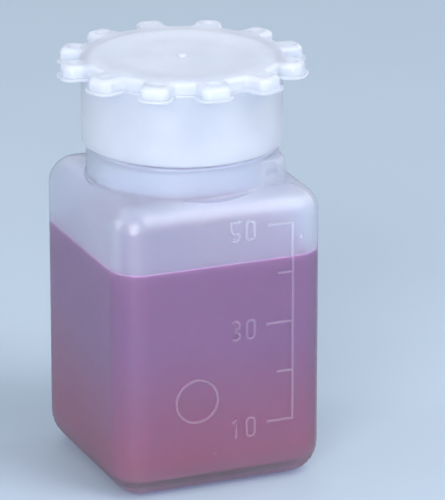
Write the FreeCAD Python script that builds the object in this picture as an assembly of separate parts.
"""Square wide-mouth reagent bottle, 50 ml, with a lobed screw cap, a cap liner and a part filling.

Millimetres. +Z is up, the origin is the centre of the base, the scale is on the -Y face,
and the sealing eyelet is on the corner between +X and -Y. One STEP file is written per piece.
"""
import FreeCAD, Part
import math
import os

# Body: a square blow-moulded shell
WIDTH = 37.0
SHOULDER_Z = 51.0
CORNER_R = 5.2
BASE_INSET = 7.1
BASE_RISE = 6.5
EDGE_R = 4.5
WALL = 1.4
FLOOR = 2.0
LEAST_CORNER_R = 0.8
PUSH_UP_R = 9.5
PUSH_UP_DEPTH = 1.0

# Neck, collar and thread
COLLAR_R = 16.07
COLLAR_FOOT_R = 16.45
COLLAR_FOOT_H = 0.4
COLLAR_TOP_Z = 56.2
NECK_R = 14.3
NECK_WALL = 1.3
LIP_Z = 68.2
LIP_ROUND = 0.4
PITCH = 4.0
THREAD_TIP = 0.45
THREAD_SLOPE = 0.5
THREAD_SINK = 0.3
NECK_THREAD_CREST_R = 15.2
NECK_THREAD_Z = 58.9
NECK_THREAD_TURNS = 1.75

# Sealing eyelet: a corner web on the mould's parting plane
EYELET_FACE = 13.63
EYELET_FOOT_DEPTH = 1.0
EYELET_REACH = 17.9
EYELET_TOP_Z = 55.4
EYELET_ROUND = 1.3
EYELET_HOLE_R = 0.7
EYELET_HOLE_ALONG = 16.95
EYELET_HOLE_Z = 53.3

# Raised scale on the front face
RELIEF = 0.3
STROKE = 0.56
SCALE_X = 12.15
LONG_TICK_X = 7.45
SHORT_TICK_X = 9.35
STEP_ML = 10
MARKS = 5
DIGIT_W = 2.0
DIGIT_H = 3.85
DIGIT_GAP = 0.65
DIGITS_RIGHT_X = 5.6
DIGIT_DROP = 0.5

# Screw cap
CAP_R = 16.8
CAP_BOTTOM_Z = 56.7
CAP_BORE_R = 15.6
CAP_CEILING_Z = 69.3
CAP_TOP_Z = 71.2
CAP_THREAD_CREST_R = 14.75
CAP_THREAD_TURNS = 1.25
CAP_THREAD_START = 90.0
FLANK_GAP = 0.25
LOBES = 12
LOBE_PHASE = -5.4
LOBE_W = 4.8
LOBE_REACH = 20.6
LOBE_ROUND = 1.3
LOBE_TOP_ROUND = 0.8
LOBE_ROOT_R = 15.5
LOBE_BOTTOM_Z = 68.7
DIMPLE_R = 2.9
DIMPLE_DEPTH = 0.3
DIMPLE_ALONG = 18.4
LIP_OUT = 0.6
LIP_THICK = 0.45
DISH_R = 15.0
DISH_DEPTH = 0.4
RIM_ROUND = 0.6
BEAD_R = 15.15
BEAD_Z = 67.6
BEAD_H = 0.5

# Liner and filling
LINER_R = 15.3
LINER_Z = 68.25
LINER_THICK = 1.0
FILL_Z = 39.8
FILL_GAP = 0.05

UP = FreeCAD.Vector(0, 0, 1)
ORIGIN = FreeCAD.Vector(0, 0, 0)
CUBIC_MM_PER_ML = 1000
PAST_EDGE = 1.0
NEAR = 0.01
PROFILE_STEPS = 8
DIGIT_ARC_STEPS = 6


def rounded_square(half, corner, z):
    """Closed outline of a square with round corners, at height z."""
    edges = []
    flat = half - corner
    mid = flat + corner * math.cos(math.radians(45))
    for quarter in range(4):
        turn = FreeCAD.Rotation(UP, 90 * quarter)
        start, end, middle, last = (
            turn.multVec(FreeCAD.Vector(x, y, z))
            for x, y in ((half, -flat), (half, flat), (mid, mid), (flat, half))
        )
        edges.append(Part.LineSegment(start, end).toShape())
        edges.append(Part.Arc(end, middle, last).toShape())
    return Part.Wire(edges)


def corner_at(corner, inset):
    """A corner's radius shrinks with the inset, as it does round a rolling ball."""
    return max(corner - inset, LEAST_CORNER_R)


def square_body(gap, floor_z, top_z):
    """Rounded square body, set inside the outer skin by gap, between two heights."""
    half, corner = WIDTH / 2 - gap, CORNER_R - gap
    inset, rise, edge = BASE_INSET - gap, BASE_RISE - gap, EDGE_R - gap
    low_z, high_z = floor_z + rise, top_z - edge
    quarter_turns = [math.pi / 2 * i / PROFILE_STEPS for i in range(PROFILE_STEPS + 1)]
    base = [
        (inset * (1 - math.sin(a)), floor_z + rise * (1 - math.cos(a))) for a in quarter_turns
    ]
    shoulder = [(edge * (1 - math.cos(a)), high_z + edge * math.sin(a)) for a in quarter_turns]
    stages = []
    for stage in (base, [(0, low_z), (0, high_z)], shoulder):
        outlines = [rounded_square(half - t, corner_at(corner, t), z) for t, z in stage]
        stages.append(Part.makeLoft(outlines, True, False))
    return stages[0].fuse(stages[1:]).removeSplitter()


def turned(points):
    """Solid of revolution about Z from an outline of (radius, height) points."""
    outline = [FreeCAD.Vector(r, 0, z) for r, z in points]
    face = Part.Face(Part.makePolygon(outline + outline[:1]))
    return face.revolve(ORIGIN, UP, 360)


def helical_ridge(crest_r, root_r, start_z, start_angle, turns):
    """Trapezoidal thread ridge that grows from root_r towards crest_r."""
    foot = THREAD_TIP + THREAD_SLOPE * abs(root_r - crest_r)
    profile = Part.makePolygon([
        FreeCAD.Vector(root_r, 0, -foot),
        FreeCAD.Vector(crest_r, 0, -THREAD_TIP),
        FreeCAD.Vector(crest_r, 0, THREAD_TIP),
        FreeCAD.Vector(root_r, 0, foot),
        FreeCAD.Vector(root_r, 0, -foot),
    ])
    helix = Part.makeHelix(PITCH, PITCH * turns, root_r)
    ridge = Part.Wire(helix.Edges).makePipeShell([profile], True, True)
    ridge.rotate(ORIGIN, UP, start_angle)
    ridge.translate(FreeCAD.Vector(0, 0, start_z))
    return ridge


def neck_outside():
    """Collar, neck and lip as one solid of revolution."""
    return turned([
        (0, SHOULDER_Z - EDGE_R),
        (COLLAR_FOOT_R, SHOULDER_Z - EDGE_R),
        (COLLAR_FOOT_R, SHOULDER_Z - COLLAR_FOOT_H),
        (COLLAR_R, SHOULDER_Z),
        (COLLAR_R, COLLAR_TOP_Z - LIP_ROUND),
        (COLLAR_R - LIP_ROUND, COLLAR_TOP_Z),
        (NECK_R, COLLAR_TOP_Z + LIP_ROUND),
        (NECK_R, LIP_Z - LIP_ROUND),
        (NECK_R - LIP_ROUND, LIP_Z),
        (0, LIP_Z),
    ])


def neck_inside():
    """Hollow of the collar and the bore of the mouth."""
    bore, wide = NECK_R - NECK_WALL, COLLAR_R - NECK_WALL
    return turned([
        (0, SHOULDER_Z - EDGE_R),
        (wide, SHOULDER_Z - EDGE_R),
        (wide, COLLAR_TOP_Z - NECK_WALL),
        (bore, COLLAR_TOP_Z + NECK_WALL / 2),
        (bore, LIP_Z - LIP_ROUND),
        (bore + LIP_ROUND, LIP_Z),
        (bore + LIP_ROUND, LIP_Z + PAST_EDGE),
        (0, LIP_Z + PAST_EDGE),
    ])


def eyelet():
    """Corner web on the shoulder, with its hole square to the parting plane."""
    foot_z = SHOULDER_Z - EYELET_FOOT_DEPTH
    start = FreeCAD.Vector(0, -EYELET_FACE, foot_z)
    web = Part.makeBox(EYELET_FACE, EYELET_FACE, EYELET_TOP_Z - foot_z, start)
    reach = Part.makeBox(EYELET_REACH, 2 * EYELET_FACE, EYELET_TOP_Z - foot_z, start)
    top_corner = [e for e in reach.Edges
                  if e.BoundBox.XMin > EYELET_REACH - NEAR and e.BoundBox.ZMin > EYELET_TOP_Z - NEAR]
    reach = reach.makeFillet(EYELET_ROUND, top_corner)
    reach.rotate(ORIGIN, UP, -45)
    return web.common(reach)


def eyelet_hole():
    """Round hole through the corner web."""
    along = FreeCAD.Vector(1, -1, 0).normalize() * EYELET_HOLE_ALONG
    across = FreeCAD.Vector(1, 1, 0).normalize()
    start = along - across * EYELET_REACH + UP * EYELET_HOLE_Z
    return Part.makeCylinder(EYELET_HOLE_R, 2 * EYELET_REACH, start, across)


def stroke(points):
    """Raised line along (x, z) points on the front face, with round ends and corners."""
    front = -WIDTH / 2 - RELIEF
    depth = RELIEF + WALL / 2
    inward = FreeCAD.Vector(0, 1, 0)
    pieces = []
    for x, z in points:
        pieces.append(Part.makeCylinder(STROKE / 2, depth, FreeCAD.Vector(x, front, z), inward))
    for (x0, z0), (x1, z1) in zip(points, points[1:]):
        length = math.hypot(x1 - x0, z1 - z0)
        bar = Part.makeBox(length, depth, STROKE, FreeCAD.Vector(0, 0, -STROKE / 2))
        bar.rotate(ORIGIN, FreeCAD.Vector(0, -1, 0), math.degrees(math.atan2(z1 - z0, x1 - x0)))
        bar.translate(FreeCAD.Vector(x0, front, z0))
        pieces.append(bar)
    return pieces


def arc_points(centre_z, radius, start, end):
    """Points along an arc about the middle of a digit's cell, angles in degrees."""
    turn = (end - start) / DIGIT_ARC_STEPS
    angles = [math.radians(start + turn * i) for i in range(DIGIT_ARC_STEPS + 1)]
    return [(DIGIT_W / 2 + radius * math.cos(a), centre_z + radius * math.sin(a)) for a in angles]


def digit_path(digit):
    """Centre line of a digit in a cell that starts at its lower left corner."""
    radius = (DIGIT_W - STROKE) / 2
    bottom, top = STROKE / 2, DIGIT_H - STROKE / 2
    low, high = bottom + radius, top - radius
    left, right = STROKE / 2, DIGIT_W - STROKE / 2
    if digit == "0":
        loop = arc_points(high, radius, 0, 180) + arc_points(low, radius, 180, 360)
        return loop + loop[:1]
    if digit == "1":
        return [(left, high), (DIGIT_W / 2, top), (DIGIT_W / 2, bottom)]
    if digit == "3":
        return arc_points(high, radius, 150, -90) + arc_points(low, radius, 90, -150)
    return [(right, top), (left, top), (left, high - STROKE)] + arc_points(low, radius, 120, -150)


def cavity():
    """The whole hollow of the bottle, with the floor pushed up over the base."""
    hollow = square_body(WALL, FLOOR, SHOULDER_Z - WALL)
    return hollow.cut(push_up(FLOOR)).fuse(neck_inside())


def push_up(thickness):
    """Ball whose cap forms the shallow dome under the base, thickened by the floor."""
    ball_r = (PUSH_UP_R ** 2 + PUSH_UP_DEPTH ** 2) / (2 * PUSH_UP_DEPTH)
    return Part.makeSphere(ball_r + thickness, FreeCAD.Vector(0, 0, PUSH_UP_DEPTH - ball_r))


def below(shape, z):
    """The part of a shape under a height."""
    return shape.common(Part.makeBox(WIDTH, WIDTH, z, FreeCAD.Vector(-WIDTH / 2, -WIDTH / 2, 0)))


def scale_heights(hollow):
    """Height of the liquid's level at each 10 ml, worked out from the hollow itself."""
    straight_z = BASE_RISE + FLOOR
    under = below(hollow, straight_z).Volume
    area = below(hollow, straight_z + 1).Volume - under  # one more millimetre of height
    marks = [STEP_ML * (i + 1) for i in range(MARKS)]
    return {ml: straight_z + (CUBIC_MM_PER_ML * ml - under) / area for ml in marks}


def raised_scale(heights):
    """Graduation line, five ticks and the numbers 10, 30 and 50."""
    marks = stroke([(SCALE_X, min(heights.values())), (SCALE_X, max(heights.values()))])
    for ml, z in heights.items():
        numbered = ml % (2 * STEP_ML) != 0
        marks += stroke([(LONG_TICK_X if numbered else SHORT_TICK_X, z), (SCALE_X, z)])
        if numbered:
            for place, digit in enumerate(reversed(str(ml))):
                left = DIGITS_RIGHT_X - DIGIT_W - place * (DIGIT_W + DIGIT_GAP)
                low = z - DIGIT_DROP - DIGIT_H / 2
                marks += stroke([(left + x, low + u) for x, u in digit_path(digit)])
    return marks[0].fuse(marks[1:]).removeSplitter()


def bottle():
    """Blow-moulded shell with its neck, thread, eyelet and raised scale."""
    hollow = cavity()
    heights = scale_heights(hollow)
    for ml, z in heights.items():
        print(f"{ml} ml at z {z:.2f} mm")
    thread = helical_ridge(NECK_THREAD_CREST_R, NECK_R - THREAD_SINK, NECK_THREAD_Z, 0,
                           NECK_THREAD_TURNS)
    skin = square_body(0, 0, SHOULDER_Z).cut(push_up(0))
    skin = skin.fuse([neck_outside(), eyelet()])
    shell = skin.cut([hollow, eyelet_hole()])
    return shell.fuse([thread, raised_scale(heights)])


def lobe(grow, top_z):
    """Finger grip lobe along +X, or the thin lip round it when it is grown."""
    reach, width = LOBE_REACH + grow, LOBE_W + 2 * grow
    pad = Part.makeBox(reach - LOBE_ROOT_R, width, top_z - LOBE_BOTTOM_Z,
                       FreeCAD.Vector(LOBE_ROOT_R, -width / 2, LOBE_BOTTOM_Z))
    tips = [e for e in pad.Edges
            if e.BoundBox.XMin > reach - NEAR and e.BoundBox.ZLength > NEAR]
    pad = pad.makeFillet(LOBE_ROUND + grow, tips)
    if grow:
        return pad
    rim = [e for e in pad.Edges
           if e.BoundBox.ZMin > top_z - NEAR and e.BoundBox.XMax > LOBE_ROOT_R + NEAR]
    pad = pad.makeFillet(LOBE_TOP_ROUND, rim)
    centre = FreeCAD.Vector(DIMPLE_ALONG, 0, top_z + DIMPLE_R - DIMPLE_DEPTH)
    return pad.cut(Part.makeSphere(DIMPLE_R, centre))


def screw_cap():
    """Cap with a smooth skirt, twelve grip lobes, a dished top and an internal thread."""
    outside = turned([
        (0, CAP_BOTTOM_Z), (CAP_R, CAP_BOTTOM_Z), (CAP_R, CAP_TOP_Z - RIM_ROUND),
        (CAP_R - RIM_ROUND, CAP_TOP_Z), (DISH_R, CAP_TOP_Z),
        (DISH_R - RIM_ROUND, CAP_TOP_Z - DISH_DEPTH), (0, CAP_TOP_Z - DISH_DEPTH),
    ])
    edge_lip = Part.makeCylinder(CAP_R + LIP_OUT, LIP_THICK, FreeCAD.Vector(0, 0, LOBE_BOTTOM_Z))
    parts = [edge_lip]
    for i in range(LOBES):
        for shape in (lobe(0, CAP_TOP_Z), lobe(LIP_OUT, LOBE_BOTTOM_Z + LIP_THICK)):
            shape.rotate(ORIGIN, UP, LOBE_PHASE - 90 + 360 / LOBES * i)
            parts.append(shape)
    inside_height = CAP_CEILING_Z - CAP_BOTTOM_Z
    bore = Part.makeCylinder(CAP_BORE_R, inside_height, FreeCAD.Vector(0, 0, CAP_BOTTOM_Z))
    bead = turned([
        (CAP_BORE_R + THREAD_SINK, BEAD_Z), (CAP_BORE_R, BEAD_Z), (BEAD_R, BEAD_Z + BEAD_H / 2),
        (CAP_BORE_R, BEAD_Z + BEAD_H), (CAP_BORE_R + THREAD_SINK, BEAD_Z + BEAD_H),
    ])
    overlap = NECK_THREAD_CREST_R - CAP_THREAD_CREST_R
    below_neck_thread = 2 * THREAD_TIP + THREAD_SLOPE * overlap + FLANK_GAP
    start_z = NECK_THREAD_Z + PITCH * CAP_THREAD_START / 360 - below_neck_thread
    thread = helical_ridge(CAP_THREAD_CREST_R, CAP_BORE_R + THREAD_SINK, start_z, CAP_THREAD_START,
                           CAP_THREAD_TURNS)
    return outside.fuse(parts).cut(bore).fuse([bead, thread]).removeSplitter()


def seal_liner():
    """Soft disc between the cap's ceiling and the bottle's lip."""
    return Part.makeCylinder(LINER_R, LINER_THICK, FreeCAD.Vector(0, 0, LINER_Z))


def reagent_fill():
    """The liquid in the bottle, a hair inside the wall, up to its level."""
    inside = square_body(WALL + FILL_GAP, FLOOR + FILL_GAP, SHOULDER_Z)
    return below(inside.cut(push_up(FLOOR + FILL_GAP)), FILL_Z)


os.makedirs("parts", exist_ok=True)
for piece in (bottle, screw_cap, seal_liner, reagent_fill):
    shape = piece()
    name = piece.__name__
    shape.exportStep(f"parts/{name}.step")
    print(name, "valid", shape.isValid(), "solids", len(shape.Solids), f"volume {shape.Volume:.1f} mm3")
